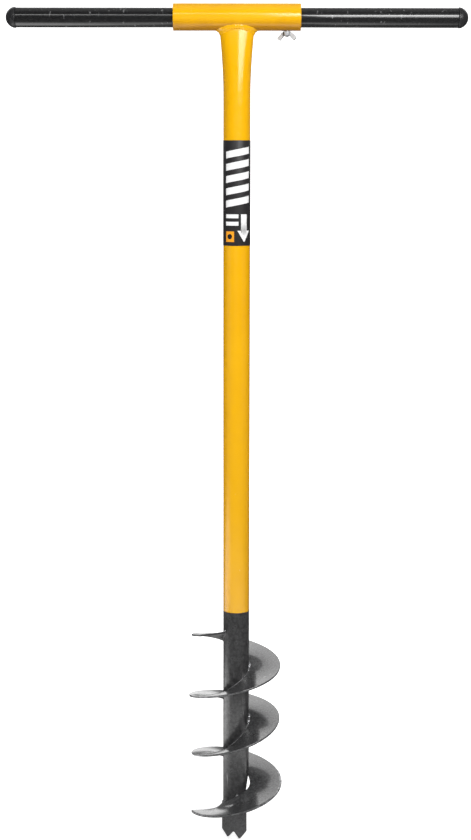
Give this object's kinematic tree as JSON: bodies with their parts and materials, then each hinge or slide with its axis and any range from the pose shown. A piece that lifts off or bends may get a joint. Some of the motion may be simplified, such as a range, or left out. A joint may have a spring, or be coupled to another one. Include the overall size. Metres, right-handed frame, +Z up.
{
  "type": "soil auger",
  "caption": "T-handled hand soil auger: a tube shaft with a welded right-hand screw flight and fishtail pilot point, and a sliding cross bar held by a wing screw.",
  "frame": {"origin": "on the shaft axis at the level of the two pilot points, the lowest part of the tool", "axes": "+Z up the shaft to the handle, X along the handle bar, -Y towards the side the label faces"},
  "size_m": [0.59, 0.1176, 1.1138],
  "materials": {
    "yellow_coat": "semi-gloss powder coat",
    "yellow_coat_weld": "semi-gloss powder coat over a weld bead",
    "dark_coat": "dark hammered coat",
    "flight_coat": "glossy dark coat",
    "weld_metal": "bright weld bead, thinly coated",
    "point_coat": "dark coat",
    "label_film": "printed film",
    "bar_coat": "black hammered coat",
    "cap_plastic": "moulded black plastic",
    "zinc_plate": "bright zinc plate",
    "bare_steel": "as drawn"
  },
  "bodies": {
    "auger_body": {"t_socket": "yellow_coat", "socket_weld_ring": "yellow_coat_weld", "shaft_tube": "yellow_coat", "joint_spigot": "bare_steel", "auger_tube": "dark_coat", "auger_flight": "flight_coat", "flight_weld_top_end": "weld_metal", "flight_weld_first_right": "weld_metal", "flight_weld_first_left": "weld_metal", "flight_weld_second_right": "weld_metal", "flight_weld_second_left": "weld_metal", "flight_weld_third_right": "weld_metal", "flight_weld_lower_front": "weld_metal", "flight_weld_cutting_end": "weld_metal", "pilot_point": "point_coat", "pilot_weld_front": "weld_metal", "pilot_weld_back": "weld_metal", "label_wrap": "label_film"},
    "handle": {"handle_bar": "bar_coat", "end_cap_left": "cap_plastic", "end_cap_right": "cap_plastic"},
    "clamp_screw": {"clamp_stud": "zinc_plate"},
    "wing": {"wing_head": "zinc_plate"}
  },
  "joints": [
    {"name": "handle_slide", "type": "slide", "parent": "auger_body", "child": "handle", "axis": [1, 0, 0], "range_m": [-0.2, 0.2]},
    {"name": "clamp_travel", "type": "slide", "parent": "auger_body", "child": "clamp_screw", "axis": [0, 0, -1], "range_m": [-0.00017, 0.003]},
    {"name": "wing_turn", "type": "hinge", "parent": "clamp_screw", "child": "wing", "pos_m": [0.06365, 0, 1.0784], "axis": [0, 0, -1], "range_deg": [-60, 1080]}
  ],
  "couplings": [
    {"joint": "wing_turn", "follows": "clamp_travel", "rad_per_m": 6283.2}
  ]
}
